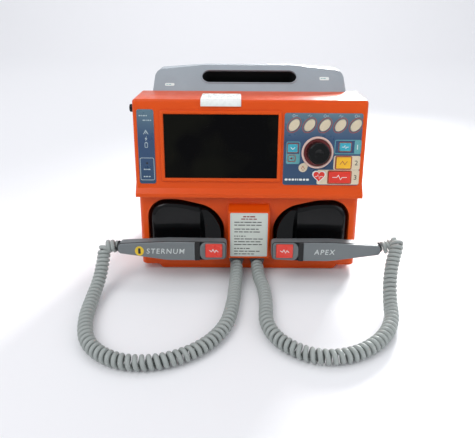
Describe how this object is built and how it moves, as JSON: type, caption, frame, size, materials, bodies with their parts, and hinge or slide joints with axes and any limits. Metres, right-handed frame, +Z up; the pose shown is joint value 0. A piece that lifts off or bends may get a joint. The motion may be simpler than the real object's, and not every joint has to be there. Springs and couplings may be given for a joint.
{
  "type": "defibrillator with hand paddles",
  "caption": "Portable defibrillator and monitor with a tilted control panel, carrying handle, two hand paddles seated in wells and two curly cords.",
  "frame": {"origin": "on the table, under the centre of the case with its two seated paddles", "axes": "+Z up, +Y from the control panel to the back, +X to the right of a person facing the panel"},
  "size_m": [0.4358, 0.4163, 0.2712],
  "materials": {
    "orange_shell": "satin moulded plastic",
    "grey_shell": "fine textured plastic",
    "lamp_lens": "frosted lens",
    "display_glass": "polished dark glass",
    "panel_film": "printed film",
    "soft_key_cream": "silicone",
    "key_cyan": "silicone",
    "key_amber": "silicone",
    "key_red": "silicone",
    "knob_black": "polished",
    "ring_cream": "satin",
    "socket_plastic": "satin",
    "inlet_black": "moulded",
    "plated_contact": "plated",
    "bush_grey": "moulded",
    "plate_film": "printed film",
    "screw_steel": "machined",
    "foot_rubber": "moulded",
    "board": "circuit board",
    "cell_wrap": "shrink wrap",
    "can_aluminium": "drawn can",
    "speaker_frame": "painted basket",
    "paddle_black": "moulded, glossy",
    "electrode_steel": "polished plate",
    "grip_grey": "fine textured plastic",
    "seal_black": "moulded",
    "button_orange": "moulded",
    "cord_grey": "smooth jacket"
  },
  "bodies": {
    "case": {"alarm_lens": "lamp_lens", "apex_cord": "cord_grey", "base_skirt": "orange_shell", "battery_cover": "grey_shell", "battery_pack": "cell_wrap", "cord_block": "orange_shell", "cord_bushes": "bush_grey", "display_window": "display_glass", "ecg_socket": "socket_plastic", "front_housing": "orange_shell", "handle_well": "grey_shell", "housing_screws": "screw_steel", "hv_capacitor": "can_aluminium", "instruction_plate": "plate_film", "keypad_board": "board", "lcd_module": "board", "left_membrane": "panel_film", "main_board": "board", "mains_inlet": "inlet_black", "paddle_tray": "orange_shell", "power_supply": "board", "rear_housing": "grey_shell", "right_membrane": "panel_film", "rubber_feet": "foot_rubber", "screen_bezel": "orange_shell", "selector_encoder": "board", "selector_ring": "ring_cream", "speaker": "speaker_frame", "sternum_cord": "cord_grey", "test_contacts": "plated_contact"},
    "knob": {"selector_knob": "knob_black"},
    "soft_key_1_body": {"soft_key_1": "soft_key_cream"},
    "soft_key_2_body": {"soft_key_2": "soft_key_cream"},
    "soft_key_3_body": {"soft_key_3": "soft_key_cream"},
    "soft_key_4_body": {"soft_key_4": "soft_key_cream"},
    "soft_key_5_body": {"soft_key_5": "soft_key_cream"},
    "page_key_body": {"page_key": "key_cyan"},
    "mute_key_body": {"mute_key": "key_red"},
    "view_key_body": {"view_key": "key_cyan"},
    "charge_key_body": {"charge_key": "key_amber"},
    "shock_key_body": {"shock_key": "key_red"},
    "sternum_paddle": {"sternum_base": "paddle_black", "sternum_electrode": "electrode_steel", "sternum_grip_rear": "grip_grey", "sternum_grip_seal": "seal_black", "sternum_grip_face": "grip_grey", "sternum_button_housing": "grip_grey", "sternum_switch": "board", "sternum_gland": "seal_black"},
    "sternum_trigger": {"sternum_button": "button_orange"},
    "apex_paddle": {"apex_base": "paddle_black", "apex_electrode": "electrode_steel", "apex_grip_rear": "grip_grey", "apex_grip_seal": "seal_black", "apex_grip_face": "grip_grey", "apex_button_housing": "grip_grey", "apex_switch": "board", "apex_gland": "seal_black"},
    "apex_trigger": {"apex_button": "button_orange"}
  },
  "joints": [
    {"name": "selector_turn", "type": "hinge", "parent": "case", "child": "knob", "pos_m": [0.0919, -0.05876, 0.17197], "axis": [0, -0.9848, 0.1736], "continuous": true},
    {"name": "soft_key_1_press", "type": "slide", "parent": "case", "child": "soft_key_1_body", "axis": [0, -0.9848, 0.1736], "range_m": [-0.0008, 0], "stiffness_N_per_m": 2500},
    {"name": "soft_key_2_press", "type": "slide", "parent": "case", "child": "soft_key_2_body", "axis": [0, -0.9848, 0.1736], "range_m": [-0.0008, 0], "stiffness_N_per_m": 2500},
    {"name": "soft_key_3_press", "type": "slide", "parent": "case", "child": "soft_key_3_body", "axis": [0, -0.9848, 0.1736], "range_m": [-0.0008, 0], "stiffness_N_per_m": 2500},
    {"name": "soft_key_4_press", "type": "slide", "parent": "case", "child": "soft_key_4_body", "axis": [0, -0.9848, 0.1736], "range_m": [-0.0008, 0], "stiffness_N_per_m": 2500},
    {"name": "soft_key_5_press", "type": "slide", "parent": "case", "child": "soft_key_5_body", "axis": [0, -0.9848, 0.1736], "range_m": [-0.0008, 0], "stiffness_N_per_m": 2500},
    {"name": "page_key_press", "type": "slide", "parent": "case", "child": "page_key_body", "axis": [0, -0.9848, 0.1736], "range_m": [-0.0008, 0], "stiffness_N_per_m": 2500},
    {"name": "mute_key_press", "type": "slide", "parent": "case", "child": "mute_key_body", "axis": [0, -0.9848, 0.1736], "range_m": [-0.0008, 0], "stiffness_N_per_m": 2500},
    {"name": "view_key_press", "type": "slide", "parent": "case", "child": "view_key_body", "axis": [0, -0.9848, 0.1736], "range_m": [-0.0008, 0], "stiffness_N_per_m": 2500},
    {"name": "charge_key_press", "type": "slide", "parent": "case", "child": "charge_key_body", "axis": [0, -0.9848, 0.1736], "range_m": [-0.0008, 0], "stiffness_N_per_m": 2500},
    {"name": "shock_key_press", "type": "slide", "parent": "case", "child": "shock_key_body", "axis": [0, -0.9848, 0.1736], "range_m": [-0.0008, 0], "stiffness_N_per_m": 2500},
    {"name": "sternum_lift", "type": "slide", "parent": "case", "child": "sternum_paddle", "axis": [0, -0.9848, 0.1736], "range_m": [0, 0.08]},
    {"name": "sternum_trigger_press", "type": "slide", "parent": "sternum_paddle", "child": "sternum_trigger", "axis": [0, -0.9848, 0.1736], "range_m": [-0.0015, 0], "stiffness_N_per_m": 2000},
    {"name": "apex_lift", "type": "slide", "parent": "case", "child": "apex_paddle", "axis": [0, -0.9848, 0.1736], "range_m": [0, 0.08]},
    {"name": "apex_trigger_press", "type": "slide", "parent": "apex_paddle", "child": "apex_trigger", "axis": [0, -0.9848, 0.1736], "range_m": [-0.0015, 0], "stiffness_N_per_m": 2000}
  ]
}
